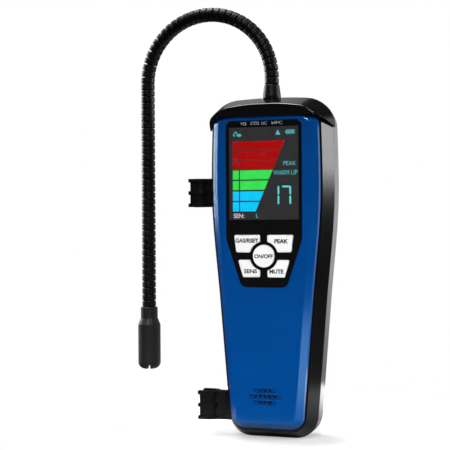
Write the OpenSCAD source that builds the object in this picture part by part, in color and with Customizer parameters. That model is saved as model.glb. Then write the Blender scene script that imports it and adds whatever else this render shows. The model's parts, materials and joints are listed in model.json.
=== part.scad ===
// Handheld refrigerant leak detector with a stay-put gooseneck probe, in millimetres.
// X runs to the right, the front faces -Y and Z is up.
// The origin is on the standing surface, under the gooseneck's axis.

/* [Casing] */
// Height of the casing, without the cap
body_h = 203.2; // [196:0.1:212]
// Width across the crease, carried down to the standing surface
foot_w = 54; // [52:0.2:60]
// Width across the crease where the handle starts to swell into the head
waist_w = 67.6; // [64:0.2:71]
// Height where the handle starts to swell into the head
waist_z = 83.6; // [76:0.1:90]
// Width across the crease at the widest place of the head
head_w = 77.6; // [75:0.2:82]
// Height of the widest place of the head
head_z = 149.6; // [142:0.1:156]
// Width across the crease, carried up to the top
crown_w = 74.6; // [72:0.2:77]
// Radius of the outline's lower corners
foot_r = 14; // [12:0.5:16]
// Radius of the outline's upper corners
crown_r = 16; // [14:0.5:18]
// Bow of the top at the crease, as its fall per square millimetre from the middle
crown_bow = 0.0016; // [0:0.0001:0.003]
// The same bow at the front face
face_bow = 0.0036; // [0.001:0.0001:0.005]
// Depth from the front face back to the gooseneck's axis
front_d = 18; // [17:0.1:20]
// Depth from the gooseneck's axis to the back face
back_d = 20; // [19:0.1:24]
// Depth of the front shell, from its face to its rim
rim_d = 6.3; // [6:0.1:7.5]
// Depth of the side crease behind the front face
crease_d = 17.3; // [16:0.1:18.5]
// How far the front shell's rim lies inside the crease outline
seam_in = 5.6; // [5.2:0.1:6.2]
// How far the rear shell's front edge lies inside the crease outline
facet_in = 4.7; // [4:0.1:5]
// How far the rear facet draws in before the back rounds over
heel_in = 1.2; // [0.6:0.1:2]
// Radius of the back edge
back_r = 6; // [5:0.5:7]
// Width and depth of the front shell's bevelled edge
edge_w = 3.8; // [3:0.1:4.2]
// Draft of the front shell's side, as an inset
edge_draft = 0.4; // [0.2:0.1:0.8]
// Inset up to which the underside stays flat to stand on
foot_flat = 2.6; // [2:0.1:3.2]
// Extra height of the front shell's rim above the standing surface
foot_lip = 1.2; // [0:0.1:2]
// Wall of both shells
wall = 2; // [1.8:0.1:2.3]
// Width of the dark seam between the shells
seam_gap = 0.9; // [0.6:0.1:1.2]

/* [Cap] */
// Thickness of the cap over the casing
cap_t = 1.3; // [1:0.1:1.8]
// Height of the cap's front band below the top of the casing
cap_drop = 11.2; // [10:0.1:12.5]
// Fall of the cap's lower edge from its front to the crease
cap_tooth = 6.5; // [4:0.1:8]
// Inset of the edge between the cap's front band and its upper facet
cap_edge_in = 3.6; // [3:0.1:4.2]
// Radius of that edge
cap_edge_r = 0.9; // [0.6:0.1:1.2]
// Clearance of the cap over the shells
cap_fit = 0.2; // [0.15:0.05:0.3]

/* [Panel and display] */
// Distance from the cap's front edge down to the panel
panel_gap = 2.6; // [2:0.1:4]
// Width of the panel
panel_w = 46.6; // [45.8:0.2:48]
// Thickness of the panel
panel_t = 1; // [0.8:0.1:1.2]
// How far the panel stands proud of the front shell
panel_proud = 0.25; // [0.1:0.05:0.4]
// Radius of the panel's upper corners
panel_r = 3.5; // [2.5:0.1:5]
// Radius of the bend where the panel starts to taper
panel_bend_r = 14; // [8:0.5:18]
// Width of the panel's foot
panel_foot_w = 30; // [28:0.2:33]
// Radius of the panel's lower corners
panel_foot_r = 4; // [3:0.1:5]
// Panel below the lower keys
panel_foot = 5.9; // [5:0.1:8]
// Width of the display window
window_w = 42.9; // [40:0.1:43.5]
// Height of the display window
window_h = 54.8; // [52:0.2:56]
// Panel above the window
window_top = 3.7; // [3:0.1:5]
// Ledge of the front shell that carries the window
window_ledge = 1.2; // [0.8:0.1:1.6]
// Frame of the display module around the window
module_frame = 1.8; // [1.4:0.1:2.2]

/* [Keys] */
// Panel between the window and the upper keys
keys_gap = 9.1; // [8.5:0.1:11]
// Height of a corner key
key_h = 10.1; // [9:0.1:10.4]
// Height from the power key's centre to a corner key
key_split = 2.3; // [2:0.1:2.8]
// Distance from the middle to a corner key's inner edge
key_inner = 2.3; // [2:0.1:3]
// Distance from the middle to an upper key's outer top corner
key_upper_out = 18.2; // [17.5:0.1:18.6]
// Distance from the middle to an upper key's outer lower corner
key_upper_in = 16.9; // [16:0.1:17.4]
// Distance from the middle to a lower key's outer top corner
key_lower_out = 15.9; // [15:0.1:16.4]
// Distance from the middle to a lower key's outer lower corner
key_lower_in = 12.8; // [11.6:0.1:13.2]
// Radius of the round power key
power_r = 6.6; // [6:0.1:7]
// Radius that clears the power key in the corner keys
power_clear_r = 8.8; // [8.5:0.1:9.4]
// Radius of a corner key's corners
key_r = 0.8; // [0.5:0.1:1.2]
// How far a key stands proud of the panel
key_proud = 0.5; // [0.3:0.05:0.8]
// Travel of a key
key_travel = 0.6; // [0.4:0.05:0.7]
// Flange that keeps a key in
key_flange = 0.6; // [0.4:0.05:0.7]
// Gap around a key
key_gap = 0.25; // [0.2:0.05:0.3]

/* [Grille] */
// Height of the grille's middle row
grille_z = 26.3; // [24:0.1:30]
// Distance between the grille's rows
grille_row = 3.55; // [3:0.05:4.2]
// Distance between holes
grille_pitch = 2.95; // [2.6:0.05:3.3]
// Diameter of a hole
grille_hole_d = 2; // [1.6:0.1:2.2]
// Height of a recessed slot around a row
grille_slot_h = 2.4; // [2.1:0.1:2.8]
// Depth of that slot
grille_slot_d = 0.7; // [0.4:0.1:1]
// Spare length of a slot past its outer holes
grille_slot_end = 8.2; // [6:0.1:9]
// Diameter of the speaker
speaker_d = 24; // [20:0.5:26]
// Depth of the speaker
speaker_h = 4.6; // [4:0.1:6]

/* [Gooseneck] */
// Distance from the neck's axis to the hanging run
hook_w = 81.3; // [76:0.1:88]
// Length of the straight run below the hook
run_len = 139.6; // [120:0.1:150]
// Length of straight neck between the ferrule and the hook
base_len = 4; // [3.8:0.1:6]
// Diameter over the beads
bead_d = 8.6; // [8.2:0.1:9]
// Radius of a bead's rounded ends
bead_r = 0.5; // [0.3:0.05:0.8]
// Diameter in the groove between two beads
groove_d = 7.2; // [6.6:0.1:7.3]
// Gap between the ends of two beads
bead_gap = 0.5; // [0.48:0.01:0.6]
// Diameter of the ball inside each pivot
ball_d = 5; // [4.6:0.1:5.2]
// Clearance of a ball in its seat
ball_fit = 0.15; // [0.1:0.01:0.2]
// Bore for the sensor's leads
neck_bore = 3; // [2.4:0.1:3.2]
// Height of the ferrule above its seat
ferrule_h = 8.4; // [7:0.1:11]
// Diameter of the ferrule's foot
ferrule_foot_d = 11; // [10.4:0.1:11.6]
// Diameter of the ferrule's top
ferrule_top_d = 9.2; // [8.8:0.1:9.8]
// Diameter of the ferrule's shank through the casing
shank_d = 8; // [7.8:0.1:8.6]
// Height of the ferrule's seat above the casing
seat_h = 1; // [0.6:0.1:2]
// Diameter of the ferrule's seat
seat_d = 13; // [12.2:0.1:14]
// Width of the ferrule's nut across its flats
nut_w = 13; // [12:0.1:14]
// Height of the ferrule's nut
nut_h = 4; // [3:0.1:4.4]
// Depth of the nut's seat below the top of the casing
nut_drop = 6.8; // [6.6:0.1:7.2]
// Thread of the ferrule left past its nut
shank_spare = 1; // [0.5:0.1:1.4]

/* [Probe tip] */
// Diameter of the collar on the neck
collar_d = 10.6; // [10:0.1:11.4]
// Length of the collar
collar_len = 7; // [6:0.1:9]
// Length of the cone between collar and barrel
shoulder_len = 4.6; // [3:0.1:6]
// Diameter of the barrel
barrel_d = 14; // [13:0.1:15]
// Length of the barrel
barrel_len = 27.1; // [25:0.1:30]
// Radius of the barrel's end
barrel_r = 4.2; // [3:0.1:4.6]
// Wall of the barrel
barrel_wall = 1.5; // [1.2:0.1:1.8]
// Thickness of the barrel's end
barrel_end = 1.6; // [1.2:0.1:2]
// Width of the air slots in the barrel's end
slot_w = 1.8; // [1.4:0.1:2.4]
// Height of those slots
slot_h = 2.6; // [2.2:0.1:4]
// Angle by which the barrel is screwed round from facing the front
slot_turn = 17.6; // [0:0.1:45]
// Diameter of the sensor element
sensor_d = 9.2; // [8:0.1:9.4]
// Length of the sensor element
sensor_len = 9; // [7:0.1:11]
// Thickness of the dust filter
filter_t = 1.4; // [1:0.1:2]

/* [Clips] */
// Height of a clip
clip_h = 17.3; // [15:0.1:20]
// Height of the upper clip's lower edge
upper_clip_z = 139; // [132:0.1:146]
// Height of the lower clip's lower edge
lower_clip_z = 9.3; // [8:0.1:15]
// How far the lower clip's channel lies inside the upper clip's
lower_clip_shift = 5.4; // [4:0.1:7]
// How far a clip's pad stands out of the casing
pad_proud = 0.6; // [0.4:0.1:1]
// Clearance of the neck in a clip
clip_fit = 0.1; // [0.05:0.05:0.3]
// Wall of a clip
clip_wall = 1.4; // [1.2:0.1:1.8]
// Distance from the channel's axis to the lip
clip_lip = 4.8; // [4.6:0.1:6]
// Width of the mouth between the lips
clip_mouth = 6.6; // [6:0.1:7.4]
// Height of each of a clip's three ribs
rib_h = 2.2; // [1.6:0.1:2.8]
// How far a rib stands proud of the clip
rib_proud = 0.9; // [0.6:0.1:1.4]
// Depth of a clip's foot, from front to back
clip_foot_d = 7; // [6:0.1:8]
// Diameter of the peg that holds a clip
peg_d = 4; // [3:0.1:5]
// Length of that peg
peg_len = 3; // [2:0.1:3.2]

/* [Batteries] */
// Diameter of a cell
cell_d = 14.5; // [14:0.1:14.6]
// Length of a cell
cell_len = 50.5; // [49:0.1:51]
// Gap between neighbouring cells
cell_gap = 0.4; // [0.3:0.1:0.5]
// Height of the battery well's floor
well_z = 28.6; // [27:0.1:32]
// Wall of the battery well
well_wall = 1.4; // [1.2:0.1:1.8]
// Thickness of a contact plate
contact_t = 0.5; // [0.4:0.1:0.7]
// Height of the dome pressed into a contact
contact_dome = 1; // [0.8:0.1:1.4]
// Overlap of the door on the well's walls
door_ledge = 0.9; // [0.6:0.1:1.1]
// Gap around the door
door_gap = 0.25; // [0.2:0.05:0.4]
// Height of the door's grip ribs
door_rib = 0.5; // [0.3:0.1:0.8]
// Width of those ribs
door_rib_w = 18; // [14:1:24]
// Distance between those ribs
door_rib_pitch = 2.4; // [2:0.1:3]

/* [Board and screws] */
// Width of the circuit board
board_w = 49; // [47:0.2:50]
// Height of the circuit board's lower edge
board_z = 92.6; // [91.6:0.1:93.6]
// Thickness of the circuit board
board_t = 1.6; // [1.2:0.1:2]
// Depth of the board's front behind the front face
board_d = 7.6; // [7.2:0.1:8.2]
// Diameter of a board post
post_d = 4.6; // [4:0.1:5]
// Distance of the board screws from the middle
post_x = 21.6; // [21.4:0.1:22]
// Diameter of a case screw's thread
screw_d = 3; // [2.6:0.1:3.2]
// Diameter of a case screw's head
head_d = 5.2; // [5:0.1:5.4]
// Height of a case screw's head
head_h = 2; // [1.6:0.1:2.4]
// Diameter of a screw boss
boss_d = 6.8; // [6.6:0.1:7]
// Distance of the upper case screws from the middle
upper_screw_x = 26.9; // [26.8:0.1:27.1]
// Distance of the upper case screws from the top
upper_screw_drop = 23.6; // [21:0.1:26]
// Distance of the lower case screws from the middle
lower_screw_x = 15.5; // [15:0.1:16.5]
// Height of the lower case screws
lower_screw_z = 15.1; // [14.6:0.1:16]

/* [Hidden] */
$fn = 48;
// Clearance between pieces that seat on each other
fit = 0.05;
// Clearance of a piece that slides into another
slip = 0.15;
// Overshoot of a cut past the solid that it cuts
over = 1;
arc_steps = 8;
top_steps = 3;
side_steps = 14;
edge_steps = 4;

front_y = -front_d;
back_y = back_d;
rim_y = front_y + rim_d;
crease_y = front_y + crease_d;
heel_y = back_y - back_r;
inner_y = front_y + wall;
floor_y = back_y - wall;
face_in = seam_in + edge_draft + edge_w;

// Outline of the casing: half width and slope at a height
foot_slope = (waist_w - foot_w) / 2 / waist_z;
swell = head_z - waist_z;
crown = body_h - head_z;

function hermite(a, slope, b, t) =
    a * (2 * pow(t, 3) - 3 * pow(t, 2) + 1) + slope * (pow(t, 3) - 2 * pow(t, 2) + t)
    + b * (3 * pow(t, 2) - 2 * pow(t, 3));
function half_w(z) =
    z < waist_z ? foot_w / 2 + foot_slope * z
    : z < head_z ? hermite(waist_w / 2, foot_slope * swell, head_w / 2, (z - waist_z) / swell)
    : head_w / 2 - (head_w - crown_w) / 2 * pow((z - head_z) / crown, 2);
function slope_at(z) = (half_w(z + fit) - half_w(z - fit)) / (2 * fit);
function lengthen(m) = sqrt(1 + m * m);

crown_z = body_h - crown_r;
crown_slope = slope_at(crown_z);
foot_x = foot_w / 2 + foot_slope * foot_r - foot_r * lengthen(foot_slope);
crown_x = half_w(crown_z) - crown_r * lengthen(crown_slope);
foot_a = -atan(foot_slope);
crown_a = -atan(crown_slope);
side_z0 = foot_r + foot_r * sin(foot_a);
side_z1 = crown_z + crown_r * sin(crown_a);

// Height of the underside for an outline that is inset by d
function underside(d) =
    d >= seam_in ? d + foot_lip : max(0, (d - foot_flat) * (seam_in + foot_lip) / (seam_in - foot_flat));
function side_point(d, z, m) = [half_w(z) - d / lengthen(m), z + d * m / lengthen(m)];

// Right half of the outline inset by d, from the foot up, with w the wall it leaves below and a bowed top
function right_half(d, w, bow) =
    let (low = underside(d - w) + w)
    concat(
        [for (i = [0 : arc_steps])
            let (a = -90 + (90 + foot_a) * i / arc_steps)
            [foot_x + (foot_r - d) * cos(a), foot_r + (foot_r - low) * sin(a)]],
        [for (i = [1 : side_steps - 1])
            let (z = side_z0 + (side_z1 - side_z0) * i / side_steps)
            side_point(d, z, slope_at(z))],
        [for (i = [0 : arc_steps])
            let (a = crown_a + (90 - crown_a) * i / arc_steps)
            let (x = crown_x + (crown_r - d) * cos(a))
            [x, crown_z + (crown_r - d) * sin(a) - bow * x * x * max(0, sin(a))]],
        [for (i = [1 : top_steps - 1])
            let (x = crown_x * (1 - i / top_steps))
            [x, body_h - d - bow * x * x]]
    );
function bow_at(y) = crown_bow + (face_bow - crown_bow) * max(0, min(1, (crease_y - y) / crease_d));
function ring(d, y, w = 0) =
    let (half = right_half(d, w, bow_at(y)), n = len(half))
    concat(
        [for (p = half) [p.x, y, p.y]],
        [for (i = [n - 1 : -1 : 0]) [-half[i].x, y, half[i].y]]
    );

// A closed solid through rings of points, with flat ends
module loft(rings) {
    n = len(rings[0]);
    last = len(rings) - 1;
    points = [for (r = rings) each r];
    sides = [for (k = [0 : last - 1], i = [0 : n - 1])
        let (j = (i + 1) % n)
        each [[k * n + i, k * n + j, (k + 1) * n + j], [k * n + i, (k + 1) * n + j, (k + 1) * n + i]]];
    first_end = [for (i = [n - 1 : -1 : 0]) i];
    last_end = [for (i = [0 : n - 1]) last * n + i];
    polyhedron(points = points, faces = concat([first_end], sides, [last_end]), convexity = 6);
}

// A flat shape in the front view, thickened from y0 back to y1
module slab(y0, y1) {
    translate([0, y1, 0]) rotate([90, 0, 0]) linear_extrude(y1 - y0) children();
}
module block(x0, x1, y0, y1, z0, z1) {
    translate([x0, y0, z0]) cube([x1 - x0, y1 - y0, z1 - z0]);
}
// A cylinder along Y, from y0 back to y1
module rod(x, z, d, y0, y1) {
    translate([x, y0, z]) rotate([-90, 0, 0]) cylinder(d = d, h = y1 - y0);
}

// Heights on the face
cap_edge_z = body_h - cap_drop;
panel_top_z = cap_edge_z - panel_gap;
window_z1 = panel_top_z - window_top;
window_z0 = window_z1 - window_h;
keys_z1 = window_z0 - keys_gap;
power_z = keys_z1 - key_split - key_h;
keys_z0 = power_z - key_split - key_h;
panel_z0 = keys_z0 - panel_foot;
panel_y = front_y - panel_proud;
pocket_y = panel_y + panel_t;
key_y = panel_y - key_proud;
flange_y = inner_y + slip;
flange_t = 0.8;
board_y = front_y + board_d;
board_z1 = window_z1 + module_frame;
post_z0 = board_z + post_d / 2;
post_z1 = (keys_z1 + window_z0 - module_frame) / 2;
posts = [for (x = [-post_x, post_x], z = [post_z0, post_z1]) [x, z]];
case_screw_spots = [
    for (s = [-1, 1]) [s * upper_screw_x, body_h - upper_screw_drop],
    for (s = [-1, 1]) [s * lower_screw_x, lower_screw_z]
];
boss_short = 3;
boss_split_y = crease_y - boss_short;
thread_bite = 0.5;
screw_pilot_d = screw_d - thread_bite;
board_screw_d = 2;
board_screw_head_d = 3.6;
board_screw_head_h = 1.5;
board_screw_len = 5;

// The front shell's ring sections, outside then inside
front_rings = concat(
    [ring(face_in, front_y), ring(seam_in + edge_draft, front_y + edge_w)],
    [ring(seam_in, rim_y), ring(seam_in + wall, rim_y, wall)],
    [ring(seam_in + edge_draft + wall, front_y + edge_w, wall), ring(face_in + fit, inner_y, wall)]
);
rear_outside = concat(
    [ring(facet_in, rim_y + seam_gap), ring(0, crease_y)],
    [for (i = [0 : edge_steps])
        let (a = 90 * i / edge_steps)
        ring(heel_in + back_r * (1 - cos(a)), heel_y + back_r * sin(a))]
);
rear_inside = [
    ring(heel_in + back_r, floor_y, wall), ring(heel_in + wall, heel_y, wall), ring(wall, crease_y, wall),
    ring(seam_in + wall, rim_y + fit, wall), ring(seam_in + slip, rim_y + fit),
    ring(seam_in + slip, rim_y + seam_gap)
];
rear_rings = concat(rear_inside, rear_outside);

// Panel outline, grown by g, and the window, grown by g
module panel_shape(g) {
    hull() {
        for (s = [-1, 1]) {
            translate([s * (panel_w / 2 - panel_r), panel_top_z - panel_r]) circle(panel_r + g, $fn = 32);
            translate([s * (panel_w / 2 - panel_bend_r), keys_z1]) circle(panel_bend_r + g, $fn = 64);
            translate([s * (panel_foot_w / 2 - panel_foot_r), panel_z0 + panel_foot_r])
                circle(panel_foot_r + g, $fn = 32);
        }
    }
}
module window_shape(g) {
    translate([-window_w / 2 - g, window_z0 - g]) square([window_w + 2 * g, window_h + 2 * g]);
}

// Corner keys on the right side; upper is 1 for the upper pair and -1 for the lower
module corner_key_shape(upper, g) {
    near = key_split;
    far = key_split + key_h;
    out_far = upper > 0 ? key_upper_out : key_lower_in;
    out_near = upper > 0 ? key_upper_in : key_lower_out;
    offset(r = key_r + g) offset(delta = -key_r) difference() {
        polygon([
            [key_inner, upper * near], [out_near, upper * near],
            [out_far, upper * far], [key_inner, upper * far]
        ]);
        circle(power_clear_r);
    }
}
module key_shape(key, g) {
    translate([0, power_z]) {
        if (key == "power") circle(power_r + g);
        if (key == "reset") mirror([1, 0]) corner_key_shape(1, g);
        if (key == "peak") corner_key_shape(1, g);
        if (key == "sens") mirror([1, 0]) corner_key_shape(-1, g);
        if (key == "mute") corner_key_shape(-1, g);
    }
}
module key_piece(key) {
    color("white") {
        slab(key_y, flange_y + flange_t) key_shape(key, 0);
        slab(flange_y, flange_y + flange_t) key_shape(key, key_flange);
    }
}
keys = ["reset", "peak", "power", "sens", "mute"];

// Middle of each key, where its switch sits
key_mid_x = (key_inner + key_upper_out + power_clear_r) / 3;
key_mid_z = key_split + key_h / 2;
function key_spot(key) =
    key == "power" ? [0, power_z]
    : [(key == "peak" || key == "mute" ? 1 : -1) * key_mid_x,
       power_z + (key == "reset" || key == "peak" ? 1 : -1) * key_mid_z];

// Grille rows: how many holes each has
grille_rows = [3, 5, 3];
module grille_slot(holes) {
    length = (holes - 1) * grille_pitch + grille_slot_end;
    square([length - grille_slot_h, grille_slot_h], center = true);
    for (s = [-1, 1]) translate([s * (length - grille_slot_h) / 2, 0]) circle(d = grille_slot_h);
}
module grille_cuts() {
    for (r = [0 : len(grille_rows) - 1]) {
        z = grille_z + (r - (len(grille_rows) - 1) / 2) * grille_row;
        slab(front_y - over, front_y + grille_slot_d) translate([0, z]) grille_slot(grille_rows[r]);
        for (h = [0 : grille_rows[r] - 1]) {
            x = (h - (grille_rows[r] - 1) / 2) * grille_pitch;
            rod(x, z, grille_hole_d, front_y - over, inner_y + over);
        }
    }
}

module front_shell() {
    color("royalblue") difference() {
        union() {
            loft(front_rings);
            for (p = posts) rod(p.x, p.y, post_d, inner_y - fit, board_y);
            for (p = case_screw_spots) rod(p.x, p.y, boss_d, inner_y - fit, boss_split_y);
        }
        slab(front_y - over, pocket_y) panel_shape(slip);
        slab(front_y - over, inner_y + over) window_shape(-window_ledge);
        for (k = keys) slab(front_y - over, inner_y + over) key_shape(k, key_gap);
        grille_cuts();
        for (p = posts) rod(p.x, p.y, board_screw_d - slip, board_y - board_screw_len, board_y + over);
        for (p = case_screw_spots) rod(p.x, p.y, screw_pilot_d, rim_y - wall, boss_split_y + over);
    }
}

// Battery well: cells side by side in the back of the handle
cell_count = 3;
well_half = (cell_count * cell_d + (cell_count + 1) * cell_gap) / 2;
function cell_x(i) = (i - (cell_count + 1) / 2) * (cell_d + cell_gap);
well_z1 = well_z + cell_len + 2 * (contact_t + contact_dome) + 4 * fit;
cell_y = floor_y - cell_gap - cell_d / 2;
well_y = cell_y - cell_d / 2 - cell_gap;
door_half = well_half + door_ledge;
door_z0 = well_z - door_ledge;
door_z1 = well_z1 + door_ledge;
seat_z = body_h + seat_h;
nut_seat_z = body_h - nut_drop;
shank_z = nut_seat_z - nut_h - shank_spare;

// Side pads that the clips seat on, at the casing's left
function pad_x(z) = half_w(z + clip_h) + pad_proud;
pad_depth = 4;

module clip_pad(z, x) {
    block(-x, -x + pad_depth, -clip_foot_d / 2, clip_foot_d / 2, z, z + clip_h);
}

module rear_shell() {
    color("dimgray") difference() {
        union() {
            loft(rear_rings);
            for (p = case_screw_spots) rod(p.x, p.y, boss_d, boss_split_y + slip, floor_y + fit);
            block(-well_half - well_wall, well_half + well_wall, well_y - well_wall, floor_y,
                well_z - well_wall, well_z1 + well_wall);
            translate([0, 0, nut_seat_z]) cylinder(d = seat_d, h = nut_drop + seat_h);
            clip_pad(upper_clip_z, pad_x(upper_clip_z));
            clip_pad(lower_clip_z, pad_x(lower_clip_z));
        }
        block(-well_half, well_half, well_y, back_y, well_z, well_z1);
        block(-door_half - door_gap, door_half + door_gap, floor_y, back_y + over,
            door_z0 - door_gap, door_z1 + door_gap);
        translate([0, 0, nut_seat_z - over])
            cylinder(d = shank_d + 2 * slip, h = nut_drop + seat_h + 2 * over);
        for (p = case_screw_spots) {
            rod(p.x, p.y, screw_d + 2 * slip, boss_split_y - over, back_y + over);
            rod(p.x, p.y, head_d + 2 * slip, back_y - head_h - 2 * fit, back_y + over);
        }
        for (z = [upper_clip_z, lower_clip_z])
            translate([-pad_x(z) - over, 0, z + clip_h / 2]) rotate([0, 90, 0])
                cylinder(d = peg_d + slip, h = over + peg_len + slip);
    }
}

module top_cap() {
    top_z = body_h + cap_t + over;
    back = crease_y + slip;
    band_y = front_y - cap_t;
    edge_soft = cap_edge_r * 0.3;
    facet_slope = (cap_edge_in + cap_t) / (crease_y - band_y);
    color([0.08, 0.08, 0.09]) difference() {
        intersection() {
            loft([
                ring(cap_edge_in + cap_edge_r, band_y),
                ring(cap_edge_in + edge_soft, band_y + edge_soft),
                ring(cap_edge_in - cap_edge_r * facet_slope, band_y + cap_edge_r),
                ring(-cap_t, crease_y),
                ring(-cap_t, back + over)
            ]);
            rotate([90, 0, 90]) translate([0, 0, -head_w]) linear_extrude(2 * head_w) polygon([
                [band_y - over, cap_edge_z], [front_y, cap_edge_z], [back, cap_edge_z - cap_tooth],
                [back, top_z], [band_y - over, top_z]
            ]);
        }
        loft([
            ring(face_in - cap_fit, front_y - cap_fit),
            ring(seam_in + edge_draft - cap_fit, front_y + edge_w - cap_fit),
            ring(seam_in - cap_fit, rim_y),
            ring(facet_in - cap_fit, rim_y + seam_gap),
            ring(-cap_fit, crease_y),
            ring(-cap_fit, crease_y + crown_r)
        ]);
        translate([0, 0, body_h - crown_r]) cylinder(d = seat_d + 2 * slip, h = 2 * crown_r);
    }
}

module keypad_panel() {
    color([0.1, 0.1, 0.1]) difference() {
        slab(panel_y, pocket_y - fit) panel_shape(0);
        slab(panel_y - over, pocket_y + over) window_shape(slip);
        for (k = keys) slab(panel_y - over, pocket_y + over) key_shape(k, key_gap);
    }
}

module display_window() {
    color([0.3, 0.32, 0.34]) slab(panel_y, pocket_y - fit) window_shape(0);
}

module display_module() {
    color([0.2, 0.2, 0.2]) slab(inner_y + slip, board_y - fit) window_shape(module_frame);
}

module main_board() {
    color("seagreen") difference() {
        block(-board_w / 2, board_w / 2, board_y, board_y + board_t, board_z, board_z1);
        for (p = posts) rod(p.x, p.y, board_screw_d + slip, board_y - over, board_y + board_t + over);
        for (p = case_screw_spots)
            rod(p.x, p.y, boss_d + 4 * slip, board_y - over, board_y + board_t + over);
    }
}

module board_screws() {
    color("silver") for (p = posts) {
        rod(p.x, p.y, board_screw_d - 2 * slip, board_y - board_screw_len + slip, board_y + board_t + fit);
        rod(p.x, p.y, board_screw_head_d, board_y + board_t + fit, board_y + board_t + board_screw_head_h);
    }
}

module key_switches() {
    half = 3;
    plunger_d = 3.4;
    plunger_h = 0.8;
    plunger_y = flange_y + flange_t + key_travel + slip;
    body_y = plunger_y + plunger_h;
    color([0.25, 0.25, 0.25]) for (k = keys) {
        p = key_spot(k);
        block(p.x - half, p.x + half, body_y, board_y - fit, p.y - half, p.y + half);
        rod(p.x, p.y, plunger_d, plunger_y, body_y + fit);
    }
}

module speaker() {
    color([0.15, 0.15, 0.15]) rod(0, grille_z, speaker_d, inner_y + fit, inner_y + speaker_h);
}

module battery(i) {
    nub_d = 5.5;
    nub_h = 1;
    z = well_z + contact_t + contact_dome + 2 * fit;
    color("goldenrod") translate([cell_x(i), cell_y, z]) {
        cylinder(d = cell_d, h = cell_len - nub_h);
        cylinder(d = nub_d, h = cell_len);
    }
}

module battery_contacts() {
    half = 4;
    color("silver") for (i = [1 : cell_count], up = [0, 1]) {
        x = cell_x(i);
        plate_z = up ? well_z1 - contact_t - fit : well_z + fit;
        dome_z = up ? well_z1 - contact_t - fit - contact_dome : well_z + fit;
        block(x - half, x + half, cell_y - half, cell_y + half, plate_z, plate_z + contact_t);
        translate([x, cell_y, dome_z]) cylinder(d = half, h = contact_t + contact_dome);
    }
}

module battery_door() {
    rib_count = 4;
    rib_half = door_rib_w / 2;
    rib_top_z = door_z1 - 2 * door_rib_pitch;
    color("dimgray") {
        intersection() {
            loft(rear_outside);
            block(-door_half, door_half, floor_y + fit, back_y + over, door_z0, door_z1);
        }
        for (i = [1 : rib_count]) {
            z = rib_top_z - door_rib_pitch * i;
            block(-rib_half, rib_half, back_y - fit, back_y + door_rib, z, z + door_rib_pitch / 2);
        }
    }
}

module case_screws() {
    recess = 1.2;
    cross_len = head_d * 0.65;
    cross_w = 0.8;
    color("silver") for (p = case_screw_spots) difference() {
        union() {
            rod(p.x, p.y, screw_pilot_d - 2 * fit, rim_y, back_y - head_h);
            rod(p.x, p.y, head_d, back_y - head_h, back_y - fit);
        }
        for (a = [0, 90]) translate([p.x, back_y - recess, p.y]) rotate([0, a, 0])
            translate([-cross_len / 2, 0, -cross_w / 2]) cube([cross_len, recess + over, cross_w]);
    }
}

// Gooseneck: the hook is a half circle of beads, in pairs that pivot on each other
link_count = 15;
hook_beads = 2 * link_count + 2;
hook_step = 180 / hook_beads;
hook_r = hook_w / 2;
bead_pitch = PI * hook_r / hook_beads;
bead_len = bead_pitch - bead_gap;
ferrule_top_z = seat_z + ferrule_h;
hook_z = ferrule_top_z + base_len;
run_beads = round(run_len / bead_pitch);
run_pitch = run_len / run_beads;
run_z = hook_z - run_len;
core_d = ball_d + 2 * ball_fit;
// Length of the neck's core inside the collar
neck_seat = collar_len / 2;

module on_hook(a) {
    translate([hook_r * (cos(a) - 1), 0, hook_z + hook_r * sin(a)]) rotate([0, -a, 0]) children();
}
// Half section of a bead around the point at height 0
module bead_section() {
    flat = bead_len / 2 - bead_r;
    translate([0, -bead_len / 2]) square([bead_d / 2 - bead_r, bead_len]);
    translate([0, -flat]) square([bead_d / 2, 2 * flat]);
    for (s = [-1, 1]) translate([bead_d / 2 - bead_r, s * flat]) circle(bead_r);
}
module bead() {
    rotate_extrude() bead_section();
}
// Filled groove between two beads of one piece
module groove() {
    cylinder(d = groove_d, h = 2 * bead_gap, center = true);
}
module bore(length) {
    translate([0, 0, -length / 2]) cylinder(d = neck_bore, h = length);
}

module gooseneck_link(k) {
    first = 2 * k;
    color([0.1, 0.1, 0.1]) difference() {
        union() {
            on_hook((first - 0.5) * hook_step) bead();
            on_hook((first + 0.5) * hook_step) bead();
            on_hook(first * hook_step) groove();
            on_hook((first + 1) * hook_step) sphere(d = ball_d);
        }
        on_hook((first - 0.5) * hook_step) bore(1.5 * bead_pitch);
        on_hook((first + 0.5) * hook_step) bore(2 * bead_pitch + ball_d);
        on_hook((first - 1) * hook_step) sphere(d = core_d);
    }
}

module gooseneck_base() {
    color([0.1, 0.1, 0.1]) difference() {
        union() {
            translate([0, 0, ferrule_top_z + base_len / 2]) bead();
            translate([0, 0, shank_z]) cylinder(d = core_d, h = hook_z - shank_z);
            on_hook(0.5 * hook_step) bead();
            translate([0, 0, hook_z]) groove();
            on_hook(hook_step) sphere(d = ball_d);
        }
        translate([0, 0, shank_z - over]) cylinder(d = neck_bore, h = hook_z - shank_z + over);
        on_hook(0.5 * hook_step) bore(2 * bead_pitch + ball_d);
    }
}

module run_section() {
    for (i = [1 : run_beads]) translate([0, run_z + (i - 0.5) * run_pitch]) bead_section();
    translate([0, run_z + bead_gap]) square([groove_d / 2, run_len - bead_gap]);
    translate([0, run_z - neck_seat]) square([core_d / 2, run_len]);
}
module gooseneck_run() {
    last = hook_beads;
    color([0.1, 0.1, 0.1]) difference() {
        union() {
            translate([-hook_w, 0, 0]) rotate_extrude() run_section();
            on_hook((last - 0.5) * hook_step) bead();
            on_hook(last * hook_step) groove();
        }
        on_hook((last - 0.5) * hook_step) bore(2 * bead_pitch);
        translate([-hook_w, 0, run_z - collar_len]) cylinder(d = neck_bore, h = run_len + collar_len);
        on_hook((last - 1) * hook_step) sphere(d = core_d);
    }
}

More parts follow.
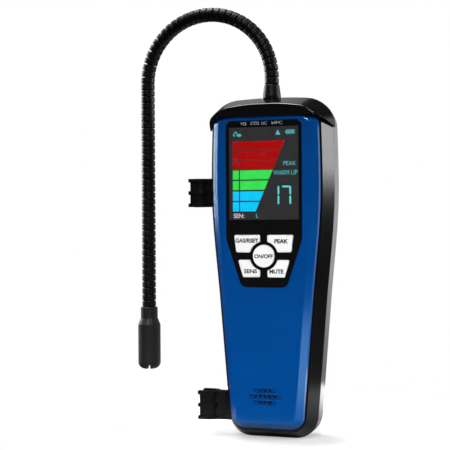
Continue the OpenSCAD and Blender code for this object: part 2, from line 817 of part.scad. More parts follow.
module neck_ferrule() {
    inner = core_d / 2 + fit;
    straight = ferrule_h / 8;
    soft = 0.6;
    color([0.09, 0.09, 0.09]) rotate_extrude() polygon([
        [inner, shank_z], [shank_d / 2, shank_z], [shank_d / 2, seat_z + fit],
        [ferrule_foot_d / 2, seat_z + fit], [ferrule_foot_d / 2, seat_z + straight],
        [ferrule_top_d / 2, ferrule_top_z - soft], [ferrule_top_d / 2 - soft, ferrule_top_z],
        [inner, ferrule_top_z]
    ]);
}

module neck_nut() {
    z = nut_seat_z - fit - nut_h;
    color("silver") translate([0, 0, z]) difference() {
        cylinder(d = nut_w / cos(30), h = nut_h, $fn = 6);
        translate([0, 0, -over]) cylinder(d = shank_d + 2 * fit, h = nut_h + 2 * over);
    }
}

// Probe tip, drawn as half sections along the run's axis
barrel_z1 = run_z - collar_len - shoulder_len;
barrel_z0 = barrel_z1 - barrel_len;
thread_d = barrel_d - 2 * barrel_wall - 2 * slip;
thread_len = 6;
sensor_z1 = barrel_z1 - thread_len - fit;

module at_tip() {
    translate([-hook_w, 0, 0]) rotate_extrude() children();
}

module probe_collar() {
    inner = core_d / 2 + fit;
    shelf_z = run_z - neck_seat - fit;
    soft = 0.5;
    color([0.1, 0.1, 0.1]) at_tip() polygon([
        [inner, run_z - fit], [collar_d / 2 - soft, run_z - fit], [collar_d / 2, run_z - soft],
        [collar_d / 2, run_z - collar_len], [barrel_d / 2, barrel_z1 + soft], [barrel_d / 2, barrel_z1],
        [thread_d / 2, barrel_z1], [thread_d / 2, barrel_z1 - thread_len],
        [neck_bore / 2, barrel_z1 - thread_len], [neck_bore / 2, shelf_z], [inner, shelf_z]
    ]);
}

module sensor_guard() {
    r = barrel_d / 2;
    inner = r - barrel_wall;
    color([0.1, 0.1, 0.1]) difference() {
        at_tip() difference() {
            union() {
                translate([0, barrel_z0 + barrel_r]) square([r, barrel_len - barrel_r - fit]);
                translate([0, barrel_z0]) square([r - barrel_r, barrel_len / 2]);
                intersection() {
                    translate([r - barrel_r, barrel_z0 + barrel_r]) circle(barrel_r);
                    translate([0, barrel_z0]) square(r);
                }
            }
            translate([-over, barrel_z0 + barrel_r]) square([inner + over, barrel_len]);
            translate([-over, barrel_z0 + barrel_end]) square([inner - barrel_end + over, barrel_r]);
        }
        for (a = [0, 90]) translate([-hook_w, 0, barrel_z0]) rotate([0, 0, slot_turn + a])
            translate([-barrel_d, -slot_w / 2, -over]) cube([2 * barrel_d, slot_w, slot_h + over]);
    }
}

module sensor_element() {
    color("silver") translate([-hook_w, 0, sensor_z1 - sensor_len]) cylinder(d = sensor_d, h = sensor_len);
}

module sensor_filter() {
    z1 = sensor_z1 - sensor_len - fit;
    color("white") translate([-hook_w, 0, z1 - filter_t]) cylinder(d = thread_d, h = filter_t);
}

// Clips: a channel for the neck, open to the left, on a foot with a peg
channel_r = bead_d / 2 + clip_fit;
clip_reach = channel_r + clip_wall + rib_proud + slip;
upper_clip_x = pad_x(upper_clip_z) + clip_reach;
lower_clip_x = upper_clip_x - lower_clip_shift;
module clip_section(proud, foot) {
    outer = channel_r + clip_wall + proud;
    difference() {
        union() {
            circle(outer);
            translate([-clip_lip - proud, -outer]) square([clip_lip + proud, 2 * outer]);
            translate([0, -clip_foot_d / 2]) square([foot, clip_foot_d]);
        }
        circle(channel_r);
        translate([-clip_lip - proud - over, -clip_mouth / 2]) square([clip_lip + proud + over, clip_mouth]);
    }
}
module clip(x, z) {
    foot = x - pad_x(z) - fit;
    rib_pitch = (clip_h - rib_h) / 2;
    color([0.08, 0.08, 0.08]) translate([-x, 0, z]) {
        linear_extrude(clip_h) clip_section(0, foot);
        for (i = [0 : 2])
            translate([0, 0, i * rib_pitch]) linear_extrude(rib_h) clip_section(rib_proud, foot);
        translate([channel_r + clip_wall / 2, 0, clip_h / 2]) rotate([0, 90, 0])
            cylinder(d = peg_d, h = foot + peg_len - channel_r - clip_wall / 2);
    }
}
module upper_clip() {
    clip(upper_clip_x, upper_clip_z);
}
module lower_clip() {
    clip(lower_clip_x, lower_clip_z);
}

front_shell();
rear_shell();
top_cap();
keypad_panel();
display_window();
display_module();
for (k = keys) key_piece(k);
key_switches();
main_board();
board_screws();
speaker();
for (i = [1 : cell_count]) battery(i);
battery_contacts();
battery_door();
case_screws();
neck_ferrule();
neck_nut();
gooseneck_base();
for (k = [1 : link_count]) gooseneck_link(k);
gooseneck_run();
probe_collar();
sensor_guard();
sensor_element();
sensor_filter();
upper_clip();
lower_clip();
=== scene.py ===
"""Looks of a handheld refrigerant leak detector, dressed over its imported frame.

Everything is in metres, in the frame's own axes: X to the right, the front facing -Y and Z up.
"""
import json
import math

import bmesh
import bpy
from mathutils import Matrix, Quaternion, Vector

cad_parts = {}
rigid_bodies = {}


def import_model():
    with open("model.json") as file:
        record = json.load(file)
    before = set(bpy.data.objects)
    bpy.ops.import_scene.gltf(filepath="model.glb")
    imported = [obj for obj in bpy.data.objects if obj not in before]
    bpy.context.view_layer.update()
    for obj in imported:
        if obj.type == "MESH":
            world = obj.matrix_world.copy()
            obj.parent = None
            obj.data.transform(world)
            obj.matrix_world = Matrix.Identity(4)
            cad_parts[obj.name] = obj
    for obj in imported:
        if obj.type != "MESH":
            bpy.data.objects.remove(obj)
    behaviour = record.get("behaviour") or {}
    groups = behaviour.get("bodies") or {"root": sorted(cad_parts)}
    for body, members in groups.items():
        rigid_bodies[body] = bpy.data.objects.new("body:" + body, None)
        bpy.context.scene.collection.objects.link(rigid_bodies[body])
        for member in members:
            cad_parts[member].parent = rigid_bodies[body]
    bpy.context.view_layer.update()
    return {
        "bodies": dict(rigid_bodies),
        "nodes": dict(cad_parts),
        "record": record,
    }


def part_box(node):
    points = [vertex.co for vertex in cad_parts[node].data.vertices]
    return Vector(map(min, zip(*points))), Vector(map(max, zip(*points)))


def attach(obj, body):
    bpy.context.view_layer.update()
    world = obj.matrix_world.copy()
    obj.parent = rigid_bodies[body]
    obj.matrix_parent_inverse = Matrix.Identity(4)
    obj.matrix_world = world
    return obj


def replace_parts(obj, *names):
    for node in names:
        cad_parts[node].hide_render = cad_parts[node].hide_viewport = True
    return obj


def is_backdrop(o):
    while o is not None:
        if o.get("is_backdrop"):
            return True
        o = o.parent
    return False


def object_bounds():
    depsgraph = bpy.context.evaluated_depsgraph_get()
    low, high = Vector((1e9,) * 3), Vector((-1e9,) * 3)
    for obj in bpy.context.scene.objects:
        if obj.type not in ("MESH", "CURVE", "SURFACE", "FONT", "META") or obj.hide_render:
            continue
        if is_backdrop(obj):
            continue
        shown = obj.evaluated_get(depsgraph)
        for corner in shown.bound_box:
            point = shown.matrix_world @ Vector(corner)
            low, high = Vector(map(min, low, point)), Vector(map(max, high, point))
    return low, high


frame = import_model()
scene = bpy.context.scene
scene.view_settings.view_transform = "Standard"

MM = 0.001


# Colours and materials

def srgb(r, g, b):
    """Linear colour of an 8-bit display colour."""
    def channel(c):
        c /= 255
        return c / 12.92 if c <= 0.04045 else ((c + 0.055) / 1.055) ** 2.4
    return channel(r), channel(g), channel(b), 1.0


NOISE_SPAN = (0.3, 0.7)  # where most values of a noise texture lie
EDGE_SPAN = (0.52, 0.62)  # pointiness of an edge, from slightly worn to fully worn
WORN_LIGHTER = 2.2
# Painted shade in slots and recesses: how far to look for nearby surfaces, and the openness it fades over
PAINTED_SHADE_REACH = 1.2 * MM
PAINTED_SHADE_SPAN = (0.6, 0.95)  # how open a surface is, from deep in a slot to nearly free


class Nodes:
    """A small helper that adds and links shader nodes in one material."""

    def __init__(self, name):
        self.material = bpy.data.materials.new(name)
        self.material.use_nodes = True
        self.tree = self.material.node_tree
        self.shader = self.tree.nodes["Principled BSDF"]

    def add(self, kind, inputs=None, **settings):
        node = self.tree.nodes.new(kind)
        for key, value in settings.items():
            setattr(node, key, value)
        for key, value in (inputs or {}).items():
            self.join(value, node.inputs[key])
        return node

    def join(self, value, socket):
        if isinstance(value, bpy.types.NodeSocket):
            self.tree.links.new(value, socket)
        else:
            socket.default_value = value

    def set(self, **sockets):
        for key, value in sockets.items():
            self.join(value, self.shader.inputs[key.replace("_", " ")])

    def noise(self, size, detail=2.0):
        """Noise in the object's own coordinates, with features about size metres across."""
        place = self.add("ShaderNodeTexCoord").outputs["Object"]
        inputs = {"Vector": place, "Scale": 1 / size, "Detail": detail}
        return self.add("ShaderNodeTexNoise", inputs).outputs["Fac"]

    def remap(self, value, span, low, high):
        """A value that goes from low to high across a span of another."""
        return self.add("ShaderNodeMapRange", {
            "Value": value, "From Min": span[0], "From Max": span[1], "To Min": low, "To Max": high,
        }).outputs["Result"]

    def spread(self, noise, low, high):
        return self.remap(noise, NOISE_SPAN, low, high)

    def blend(self, factor, a, b):
        node = self.add("ShaderNodeMix", data_type="RGBA")
        for value, socket in ((factor, node.inputs[0]), (a, node.inputs[6]), (b, node.inputs[7])):
            self.join(value, socket)
        return node.outputs[2]

    def painted_shade(self, base, dark, most):
        """Painted shade: a colour that turns dark in slots and recesses, where shade falls."""
        openness = self.add("ShaderNodeAmbientOcclusion", {"Distance": PAINTED_SHADE_REACH}).outputs["AO"]
        return self.blend(self.remap(openness, PAINTED_SHADE_SPAN, most, 0.0), base, dark)

    def bump(self, height, distance):
        inputs = {"Height": height, "Distance": distance, "Strength": 1.0}
        return self.add("ShaderNodeBump", inputs).outputs["Normal"]


def scaled(colour, factor):
    return (*(min(1.0, c * factor) for c in colour[:3]), 1.0)


def moulded(name, colour, roughness, grain=0.35 * MM, depth=0.004 * MM, cloud=22 * MM, tint=0.1, worn=0.0,
            crevice_shade=0.0, **sockets):
    """Moulded plastic: faint clouds, uneven gloss, a fine grain, paler worn edges and painted shade in
    slots and recesses.
    """
    n = Nodes(name)
    clouds = n.noise(cloud, 3.0)
    fine = n.noise(grain, 1.0)
    base = n.blend(n.spread(clouds, 0.0, 1.0), scaled(colour, 1 - tint), scaled(colour, 1 + tint))
    if worn:
        edge = n.add("ShaderNodeNewGeometry").outputs["Pointiness"]
        base = n.blend(n.remap(edge, EDGE_SPAN, 0.0, worn), base, scaled(colour, WORN_LIGHTER))
    # painted shade: the colour turns darker in slots and recesses
    if crevice_shade:
        base = n.painted_shade(base, scaled(colour, 0.1), crevice_shade)
    n.set(Base_Color=base, Roughness=n.spread(clouds, roughness * 0.88, roughness * 1.12),
          Normal=n.bump(fine, depth), **sockets)
    return n.material


def brushed(name, colour, roughness):
    """Plated metal with fine turning marks, and painted shade in its recesses."""
    n = Nodes(name)
    marks = n.noise(0.2 * MM, 4.0)
    base = n.blend(marks, scaled(colour, 0.85), scaled(colour, 1.1))
    # painted shade: the steel turns darker in its recesses
    base = n.painted_shade(base, scaled(colour, 0.05), 0.9)
    n.set(Base_Color=base, Metallic=1.0, Roughness=n.spread(marks, roughness * 0.7, roughness * 1.3),
          Normal=n.bump(marks, 0.003 * MM))
    return n.material


def lit(name, colour, strength):
    """A lit display segment, a little uneven across its area."""
    n = Nodes(name)
    uneven = n.spread(n.noise(4 * MM), 0.92, 1.06)
    glow = n.add("ShaderNodeMath", {0: uneven, 1: strength}, operation="MULTIPLY").outputs[0]
    n.set(Base_Color=scaled(colour, 0.2), Roughness=0.4, Emission_Color=colour, Emission_Strength=glow)
    return n.material


def clear(name):
    """A hard-coated clear lens."""
    n = Nodes(name)
    smear = n.noise(9 * MM, 3.0)
    n.set(Base_Color=(0.96, 0.97, 0.98, 1.0), Transmission_Weight=1.0, IOR=1.45,
          Roughness=n.spread(smear, 0.0, 0.04))
    return n.material


def circuit(name):
    """Solder mask over copper traces."""
    n = Nodes(name)
    traces = n.add("ShaderNodeTexBrick", {
        "Vector": n.add("ShaderNodeTexCoord").outputs["Object"], "Scale": 160.0,
        "Color1": srgb(18, 92, 56), "Color2": srgb(22, 102, 62), "Mortar": srgb(60, 140, 84),
        "Mortar Size": 0.03,
    })
    n.set(Base_Color=traces.outputs["Color"], Roughness=0.35,
          Normal=n.bump(traces.outputs["Fac"], 0.03 * MM))
    return n.material


JACKET_LINE = (0.66, 0.68)  # the pale line, as shares of the cell's height


def jacket(name, cell):
    """A cell's plain foil jacket, dark below and copper above, with a pale line between."""
    n = Nodes(name)
    foot, head = (corner.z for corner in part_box(cell))
    up = n.add("ShaderNodeSeparateXYZ", {0: n.add("ShaderNodeTexCoord").outputs["Object"]}).outputs["Z"]

    def above(share):
        level = foot + share * (head - foot)
        return n.add("ShaderNodeMath", {0: up, 1: level}, operation="GREATER_THAN").outputs[0]

    sheen = n.noise(3 * MM, 2.0)
    copper = n.blend(sheen, srgb(168, 116, 50), srgb(186, 136, 66))
    below = n.blend(above(JACKET_LINE[0]), srgb(20, 20, 22), srgb(190, 190, 188))
    n.set(Base_Color=n.blend(above(JACKET_LINE[1]), below, copper), Metallic=0.3,
          Roughness=n.spread(sheen, 0.28, 0.4), Normal=n.bump(sheen, 0.004 * MM))
    return n.material


BLUE = srgb(0, 66, 137)
SKY = (0.4, 0.85, 1.0, 1.0)  # tint of the blue shell's highlights
MATERIALS = {
    # the blue shell gets painted shade in its slots and recesses
    "blue_shell": moulded("blue_shell", BLUE, 0.16, depth=0.001 * MM, worn=0.1, tint=0.05, crevice_shade=0.5,
                          Specular_IOR_Level=0.65, Specular_Tint=SKY),
    "black_shell": moulded("black_shell", srgb(12, 12, 13), 0.2, depth=0.002 * MM, worn=0.1,
                           Specular_IOR_Level=0.25),
    "black_gloss": moulded("black_gloss", srgb(12, 12, 13), 0.16, depth=0.001 * MM),
    "clear_window": clear("clear_window"),
    "display": moulded("display", srgb(46, 46, 48), 0.4),
    "key_white": moulded("key_white", srgb(250, 250, 250), 0.42, tint=0.01),
    "dark_plastic": moulded("dark_plastic", srgb(34, 34, 36), 0.5),
    "circuit_board": circuit("circuit_board"),
    "steel": brushed("steel", srgb(200, 202, 205), 0.3),
    "cell_jacket": jacket("cell_jacket", "battery_1"),
    "neck_black": moulded("neck_black", srgb(9, 9, 10), 0.42, grain=0.25 * MM, worn=0.05,
                          Specular_IOR_Level=0.22),
    "tip_black": moulded("tip_black", srgb(21, 21, 22), 0.55, worn=0.05, Specular_IOR_Level=0.3),
    "filter_white": moulded("filter_white", srgb(225, 225, 220), 0.9, depth=0.05 * MM, grain=0.3 * MM),
    "clip_black": moulded("clip_black", srgb(10, 10, 11), 0.32, worn=0.15, Specular_IOR_Level=0.25),
}


# Skins: each solid again as one welded mesh with eased edges and smooth shading

node_slot = {part["node"]: part["material_slot"] for part in frame["record"]["subparts"]}
node_body = {
    node: next(body for body, empty in frame["bodies"].items() if empty == solid.parent)
    for node, solid in frame["nodes"].items()
}


def piece(name, mesh, body, slot, material=None):
    obj = bpy.data.objects.new(name, mesh)
    scene.collection.objects.link(obj)
    mesh.materials.clear()
    mesh.materials.append(material or MATERIALS[slot])
    normals = obj.modifiers.new("normals", "WEIGHTED_NORMAL")
    normals.keep_sharp = True
    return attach(obj, body)


def shade(bm, sharp):
    for face in bm.faces:
        face.smooth = True
    for edge in bm.edges:
        edge.smooth = edge.calc_face_angle(0) < sharp


def round_edges(bm, edges, radius, segments, clamp=True):
    bmesh.ops.bevel(bm, geom=edges, offset=radius * MM, offset_type="OFFSET", segments=segments,
                    profile=0.5, affect="EDGES", clamp_overlap=clamp)


WELD = 0.002 * MM
FLAT = math.radians(0.3)
STEEPEST_FOLD = math.radians(65)
SHADING_MARGIN = math.radians(5)
LOOKS_AHEAD = -0.95  # a face looks to the front when its normal's Y is below this


def rims_front(edge, sharp):
    """Whether an edge is a blunt fold at the rim of a face that looks to the front."""
    if not sharp < edge.calc_face_angle(0) < STEEPEST_FOLD:
        return False
    return min(face.normal.y for face in edge.link_faces) < LOOKS_AHEAD


def skin(node, ease=0.15, sharp=20, fold=0):
    """The node's own form with its sharp edges eased and the folds round its front face rounded.

    Both radii are in millimetres, and an edge is sharp from so many degrees on.
    """
    sharp = math.radians(sharp)
    mesh = bpy.data.meshes.new(node + "_skin")
    bm = bmesh.new()
    bm.from_mesh(frame["nodes"][node].data)
    bmesh.ops.remove_doubles(bm, verts=bm.verts, dist=WELD)
    bmesh.ops.dissolve_limit(bm, angle_limit=FLAT, verts=bm.verts, edges=bm.edges)
    if fold:
        round_edges(bm, [e for e in bm.edges if rims_front(e, sharp)], fold, 4, False)
    if ease:
        round_edges(bm, [e for e in bm.edges if e.calc_face_angle(0) > sharp], ease, 2)
    shade(bm, sharp + SHADING_MARGIN)
    bm.to_mesh(mesh)
    bm.free()
    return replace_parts(piece(node + "_skin", mesh, node_body[node], node_slot[node]), node)


for node in ("keypad_panel", "upper_clip", "lower_clip", "sensor_guard", "probe_collar", "neck_ferrule",
             "battery_door", "case_screws"):
    skin(node)
skin("front_shell", ease=0.3, fold=0.9)
skin("rear_shell", ease=0.3)
skin("top_cap", ease=0.3, sharp=32)
for node in frame["nodes"]:
    if node.startswith("gooseneck"):
        skin(node, ease=0)
    if node.endswith("_key"):
        skin(node, ease=0.25)
for node, solid in frame["nodes"].items():
    if not solid.hide_render:
        solid.data.materials.clear()
        solid.data.materials.append(MATERIALS[node_slot[node]])


# Display: a clear lens over a lit film, with the picture on the film

INK = 0.03 * MM
LETTER_WELD = 0.0005 * MM
OVAL_SIDES = 16


class Print:
    """Flat figures and words on a plane that faces the front, gathered into one thin mesh.

    Places are in millimetres from the frame's X and from the height of foot.
    """

    def __init__(self, y, foot=0.0):
        self.y, self.foot = y, foot
        self.bm = bmesh.new()

    def shape(self, points):
        places = [(x * MM, (self.foot + z) * MM) for x, z in points]
        front = [self.bm.verts.new((x, self.y - INK, z)) for x, z in places]
        back = [self.bm.verts.new((x, self.y, z)) for x, z in places]
        self.bm.faces.new(front)
        self.bm.faces.new(reversed(back))
        for i, a in enumerate(front):
            j = (i + 1) % len(front)
            self.bm.faces.new((a, back[i], back[j], front[j]))

    def bar(self, x0, x1, z0, z1):
        self.shape([(x0, z0), (x1, z0), (x1, z1), (x0, z1)])

    def oval(self, x, z, half_width, half_height):
        turns = [2 * math.pi * i / OVAL_SIDES for i in range(OVAL_SIDES)]
        self.shape([(x + half_width * math.cos(a), z + half_height * math.sin(a)) for a in turns])

    def segment(self, a, b, width):
        """A display segment from a to b, pointed at both ends."""
        along = (Vector(b) - Vector(a)).normalized() * width / 2
        side = Vector((-along.y, along.x))
        a, b = Vector(a), Vector(b)
        self.shape([a, a + along - side, b - along - side, b, b - along + side, a + along + side])

    def words(self, text, x, z, width, height, weight):
        """A line of text centred on x, z and fitted to a width and height."""
        curve = bpy.data.curves.new("words", "FONT")
        curve.body = text
        curve.extrude = 0.5
        curve.offset = weight
        obj = bpy.data.objects.new("words", curve)
        scene.collection.objects.link(obj)
        bpy.context.view_layer.update()
        letters = bpy.data.meshes.new_from_object(obj.evaluated_get(bpy.context.evaluated_depsgraph_get()))
        bpy.data.objects.remove(obj)
        corners = [v.co for v in letters.vertices]
        low = [min(c[i] for c in corners) for i in range(3)]
        span = [max(c[i] for c in corners) - low[i] for i in range(3)]
        for v in letters.vertices:
            across, up, out = ((v.co[i] - low[i]) / span[i] for i in range(3))
            v.co = ((x + (across - 0.5) * width) * MM, self.y - out * INK,
                    (self.foot + z + (up - 0.5) * height) * MM)
        self.bm.from_mesh(letters)
        bpy.data.meshes.remove(letters)

    def piece(self, name, body, slot, material):
        mesh = bpy.data.meshes.new(name)
        bmesh.ops.remove_doubles(self.bm, verts=self.bm.verts, dist=LETTER_WELD)
        bmesh.ops.recalc_face_normals(self.bm, faces=self.bm.faces)
        self.bm.to_mesh(mesh)
        self.bm.free()
        return piece(name, mesh, body, slot, material)


def plate(name, low, high, ease, body, slot, material=None):
    """A flat plate with eased edges."""
    mesh = bpy.data.meshes.new(name)
    bm = bmesh.new()
    bmesh.ops.create_cube(bm, size=1)
    for v in bm.verts:
        v.co = [a + (b - a) * (c + 0.5) for a, b, c in zip(low, high, v.co)]
    bmesh.ops.bevel(bm, geom=bm.edges, offset=ease, segments=2, profile=0.5, affect="EDGES")
    shade(bm, math.radians(40))
    bm.to_mesh(mesh)
    bm.free()
    return piece(name, mesh, body, slot, material)


LENS_THICK = 0.5 * MM
FILM_THICK = 0.25 * MM
RED, GREEN, CYAN, TEAL = srgb(172, 0, 0), srgb(58, 226, 84), srgb(0, 206, 255), srgb(98, 226, 222)
DIM_TEAL, PALE, GREY = srgb(84, 186, 190), srgb(226, 205, 205), srgb(50, 50, 51)

lens_low, lens_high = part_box("display_window")
lens = plate("display_lens", lens_low, (lens_high.x, lens_low.y + LENS_THICK, lens_high.z), 0.1 * MM,
             "casing", "clear_window")
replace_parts(lens, "display_window")
film_y = lens_high.y - FILM_THICK
plate("display_film", (lens_low.x, film_y, lens_low.z), lens_high, 0.05 * MM, "casing", "display",
      lit("film_glow", GREY, 0.85))

# The picture is laid out in millimetres from the film's lower middle
BAR_LEFT = -19.2
BAR_SPLIT = (-15.4, -14.7)
BAR_FOOT = (-4.96, 5.1)
BAR_LEAN = 0.4376
# Name, colour, number of bars, lower and upper end, and the gap between two bars
BAR_GROUPS = (("red", RED, 3, 29.9, 46.5, 0.45), ("green", GREEN, 2, 17.7, 29.3, 0.8),
              ("cyan", CYAN, 2, 5.0, 16.8, 0.8))
film_foot = lens_low.z / MM


def bar_end(z):
    """Where the slanted right end of the bars is at a height."""
    return BAR_FOOT[0] + BAR_LEAN * (z - BAR_FOOT[1])


for name, colour, count, z0, z1, gap in BAR_GROUPS:
    bars = Print(film_y, film_foot)
    pitch = (z1 - z0 + gap) / count
    for i in range(count):
        low, high = z0 + i * pitch, z0 + (i + 1) * pitch - gap
        bars.bar(BAR_LEFT, BAR_SPLIT[0], low, high)
        bars.shape([(BAR_SPLIT[1], low), (bar_end(low), low), (bar_end(high), high), (BAR_SPLIT[1], high)])
    bars.piece("display_" + name + "_bars", "casing", "display", lit(name + "_glow", colour, 1.0))

DIGIT_STROKE = 1.1
DIGIT_SEGMENTS = (((9.1, 8.9), (9.1, 14.2)), ((9.1, 14.5), (9.1, 19.8)),
                  ((16.3, 8.9), (16.3, 14.2)), ((16.3, 14.5), (16.3, 19.8)),
                  ((11.2, 19.4), (15.9, 19.4)))
readout = Print(film_y, film_foot)
for a, b in DIGIT_SEGMENTS:
    readout.segment(a, b, DIGIT_STROKE)
readout.piece("display_readout", "casing", "display", lit("teal_glow", TEAL, 0.9))

# Signs above the bars: a pointing hand at the left, a warning triangle and a battery at the right
HAND_STROKE = 0.5
HAND_SEGMENTS = (((-19.0, 50.1), (-17.0, 52.5)), ((-17.1, 52.5), (-16.2, 50.5)),
                 ((-18.9, 50.0), (-17.3, 49.9)))
HAND_PALM = (-15.1, 50.2, 1.5, 0.9)
TRIANGLE = ((7.3, 49.9), (10.5, 49.9), (8.9, 52.9))
BATTERY_FRAME = ((14.0, 19.2, 50.2, 50.5), (14.0, 19.2, 52.4, 52.7))
BATTERY_LEVELS = (14.0, 15.25, 16.5, 17.75)
BATTERY_LEVEL = (0.95, 50.7, 52.2)
BATTERY_ENDS = ((18.95, 19.2, 50.6, 52.3), (13.4, 13.8, 50.9, 52.0))
# Words beside and below the bars: text, middle, width, height and weight
NOTES = (("PEAK", 16.1, 33.0, 7.8, 2.5, 0.0), ("WARM UP", 13.4, 27.6, 14.6, 2.8, 0.0),
         ("L", -4.1, 2.4, 1.4, 2.4, 0.02))
CAPTION = ("SEN:", -15.5, 2.4, 6.6, 2.7, 0.02)

notes = Print(film_y, film_foot)
for a, b in HAND_SEGMENTS:
    notes.segment(a, b, HAND_STROKE)
notes.oval(*HAND_PALM)
notes.shape(TRIANGLE)
level_width, level_low, level_high = BATTERY_LEVEL
levels = [(x, x + level_width, level_low, level_high) for x in BATTERY_LEVELS]
for bar in (*BATTERY_FRAME, *levels, *BATTERY_ENDS):
    notes.bar(*bar)
for note in NOTES:
    notes.words(*note)
notes.piece("display_notes", "casing", "display", lit("note_glow", DIM_TEAL, 1.0))
caption = Print(film_y, film_foot)
caption.words(*CAPTION)
caption.piece("display_caption", "casing", "display", lit("caption_glow", PALE, 0.9))


# Printing on the panel and the keys

# Text, middle and width of each word above the display
PANEL_TEXT = (("H2", -12.0, 3.4), ("CO2", -5.1, 5.4), ("HC", 0.7, 3.4), ("HFC", 8.6, 6.6))
PANEL_TEXT_UP = 57.0
PANEL_TEXT_HEIGHT = 1.9
gases = Print(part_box("keypad_panel")[0].y, film_foot)
for text, x, width in PANEL_TEXT:
    gases.words(text, x, PANEL_TEXT_UP, width, PANEL_TEXT_HEIGHT, 0.0)
gases.piece("panel_print", "casing", "key_white", moulded("panel_ink", srgb(178, 178, 178), 0.5))

# Key, text, middle, width and height of each key's word
KEY_TEXT = (("reset", "GAS/RSET", -10.4, 118.6, 14.2, 2.5), ("peak", "PEAK", 10.9, 118.2, 8.4, 2.5),
            ("power", "ON/OFF", 0.0, 109.3, 11.4, 2.4), ("sens", "SENS", -8.1, 100.5, 8.0, 2.5),
            ("mute", "MUTE", 7.9, 100.4, 8.6, 2.5))
KEY_TEXT_WEIGHT = 0.04
key_ink = moulded("key_ink", srgb(24, 24, 26), 0.5)
for key, text, x, z, width, height in KEY_TEXT:
    label = Print(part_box(key + "_key")[0].y)
    label.words(text, x, z, width, height, KEY_TEXT_WEIGHT)
    label.piece(key + "_label", key + "_button", "dark_plastic", key_ink)


# Camera: the photograph's, level and turned to show the right side

CAMERA_AZIMUTH = math.radians(17.6)
CAMERA_REACH = 0.690
CAMERA_HEIGHT = 0.1279
CAMERA_YAW = math.radians(1.895)
CAMERA_ROLL = math.radians(-0.35)
FOCAL_PIXELS = 1169.7
PHOTO_PIXELS = 450
SENSOR_WIDTH = 36

face_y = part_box("front_shell")[0].y
ahead = Vector((-math.sin(CAMERA_AZIMUTH), math.cos(CAMERA_AZIMUTH), 0))
across = Vector((math.cos(CAMERA_AZIMUTH), math.sin(CAMERA_AZIMUTH), 0))
aim = ahead * math.cos(CAMERA_YAW) - across * math.sin(CAMERA_YAW)
camera = bpy.data.objects.new("camera", bpy.data.cameras.new("camera"))
camera.data.sensor_width = SENSOR_WIDTH
camera.data.lens = FOCAL_PIXELS / PHOTO_PIXELS * SENSOR_WIDTH
camera.location = Vector((0, face_y, CAMERA_HEIGHT)) - ahead * CAMERA_REACH
camera.rotation_mode = "QUATERNION"
camera.rotation_quaternion = aim.to_track_quat("-Z", "Y") @ Quaternion((0, 0, 1), CAMERA_ROLL)
scene.collection.objects.link(camera)
scene.camera = camera


# Studio: white where it is seen directly, dim in front for reflections, with soft boxes all round

def ray_share(tree, *rays):
    """1 for rays of the named kinds, and 0 for the rest."""
    path = tree.nodes.new("ShaderNodeLightPath")
    total = path.outputs[rays[0]]
    for ray in rays[1:]:
        either = tree.nodes.new("ShaderNodeMath")
        either.operation = "MAXIMUM"
        tree.links.new(total, either.inputs[0])
        tree.links.new(path.outputs[ray], either.inputs[1])
        total = either.outputs[0]
    return total


def choose(tree, factor, a, b):
    mix = tree.nodes.new("ShaderNodeMix")
    for value, socket in ((factor, mix.inputs["Factor"]), (a, mix.inputs["A"]), (b, mix.inputs["B"])):
        if isinstance(value, bpy.types.NodeSocket):
            tree.links.new(value, socket)
        else:
            socket.default_value = value
    return mix.outputs["Result"]


def ramp(tree, value, start, end, low, high):
    """A smooth step from low to high between start and end of a value."""
    node = tree.nodes.new("ShaderNodeMapRange")
    node.interpolation_type = "SMOOTHSTEP"
    tree.links.new(value, node.inputs["Value"])
    for key, number in (("From Min", start), ("From Max", end), ("To Min", low), ("To Max", high)):
        node.inputs[key].default_value = number
    return node.outputs["Result"]


ROOM_LIGHT = 0.3
ROOM_FRONT = 0.02
# The mirrored room is white only to the back right near the horizon: axis, start, end and least share
ROOM_LIMITS = (("Y", 0.45, 0.9, 0.0), ("X", -0.35, 0.0, 0.0), ("Z", -0.2, 0.0, 0.3), ("Z", 0.5, 0.25, 0.0))

world = bpy.data.worlds.new("studio")
scene.world = world
world.use_nodes = True
tree = world.node_tree
background = tree.nodes["Background"]
axes = tree.nodes.new("ShaderNodeSeparateXYZ")
tree.links.new(tree.nodes.new("ShaderNodeTexCoord").outputs["Generated"], axes.inputs[0])
shares = [ramp(tree, axes.outputs[axis], start, end, least, 1.0) for axis, start, end, least in ROOM_LIMITS]
room = shares[0]
for share in shares[1:]:
    product = tree.nodes.new("ShaderNodeMath")
    product.operation = "MULTIPLY"
    tree.links.new(room, product.inputs[0])
    tree.links.new(share, product.inputs[1])
    room = product.outputs[0]
room = ramp(tree, room, 0.0, 1.0, ROOM_FRONT, 1.0)
level = choose(tree, ray_share(tree, "Is Glossy Ray", "Is Transmission Ray"), ROOM_LIGHT, room)
level = choose(tree, ray_share(tree, "Is Camera Ray"), level, 1.0)
tree.links.new(level, background.inputs["Strength"])
background.inputs["Color"].default_value = (1, 1, 1, 1)

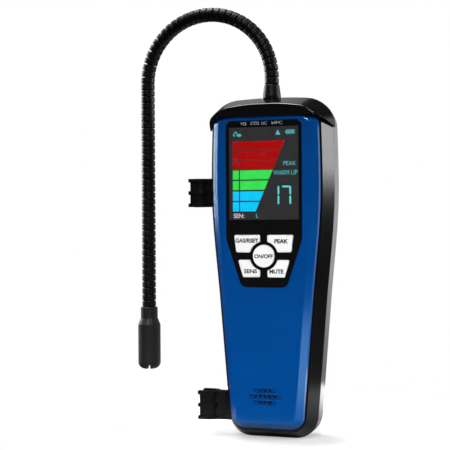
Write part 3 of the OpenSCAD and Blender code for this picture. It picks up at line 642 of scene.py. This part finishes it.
# A sheet of paper that reaches to the front right, and stops short elsewhere. Seen directly it is white
# apart from the shadow at the foot. Mirrored it is dark at the foot and bright further out.
FLOOR_SHEET = [(-0.1, -0.08, 0), (0.08, -0.08, 0), (0.40, -0.33, 0), (0.40, 0.02, 0), (0.14, 0.02, 0),
               (0.14, 0.2, 0), (-0.1, 0.2, 0)]
PAPER_TONE = (0.35, 0.35, 0.35, 1)
PAPER_DROP = 0.02 * MM
SHADOW_REACH = (0.03, 0.08)
SHADOW_LIFT = 0.42
MIRROR_REACH = (0.06, 0.18)
MIRROR_GLOW = 2.0
floor_mesh = bpy.data.meshes.new("floor")
floor_mesh.from_pydata(FLOOR_SHEET, [], [range(len(FLOOR_SHEET))])
floor = bpy.data.objects.new("floor", floor_mesh)
floor.location.z = -PAPER_DROP
scene.collection.objects.link(floor)
paper = Nodes("paper")
paper.set(Base_Color=PAPER_TONE, Roughness=0.9, Specular_IOR_Level=0.1, Emission_Color=(1, 1, 1, 1))
place = paper.add("ShaderNodeTexCoord").outputs["Object"]
distance = paper.add("ShaderNodeVectorMath", {0: place}, operation="LENGTH").outputs["Value"]
mirrored = ray_share(paper.tree, "Is Glossy Ray", "Is Transmission Ray")
glow = choose(paper.tree, mirrored, 0.0, ramp(paper.tree, distance, *MIRROR_REACH, 0.0, MIRROR_GLOW))
seen = ray_share(paper.tree, "Is Camera Ray")
glow = choose(paper.tree, seen, glow, ramp(paper.tree, distance, *SHADOW_REACH, SHADOW_LIFT, 1.0))
paper.join(glow, paper.shader.inputs["Emission Strength"])
floor_mesh.materials.append(paper.material)
floor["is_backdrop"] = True


# Name, place, target, width, height, watts and spread in degrees of each lamp
SOFT_BOXES = (
    ("right_box", (0.92, 0.39, 0.50), (0, 0, 0.50), 0.34, 0.62, 1.98, 90),
    ("left_box", (-0.92, 0.24, 0.48), (0, 0, 0.48), 0.5, 0.74, 3.9, 90),
    ("key_box", (0.17, -0.93, 0.66), (0, 0, -0.08), 0.4, 0.4, 0.52, 18),
    ("low_box", (0.65, -0.06, 0.25), (0.03, 0, 0.04), 0.16, 0.06, 0.022, 14),
    ("top_box", (-0.29, 0.1, 1.1), (0, 0, 0.12), 0.6, 0.5, 14, 180),
    ("back_box", (-0.42, 1.0, 0.72), (0, 0, 0.2), 0.6, 0.4, 0.3, 180),
)
for name, place, target, width, height, watts, spread in SOFT_BOXES:
    lamp = bpy.data.lights.new(name, "AREA")
    lamp.shape = "RECTANGLE"
    lamp.size, lamp.size_y, lamp.energy = width, height, watts
    lamp.spread = math.radians(spread)
    box = bpy.data.objects.new(name, lamp)
    box.location = place
    box.rotation_mode = "QUATERNION"
    box.rotation_quaternion = (Vector(target) - box.location).to_track_quat("-Z", "Y")
    scene.collection.objects.link(box)


low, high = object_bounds()
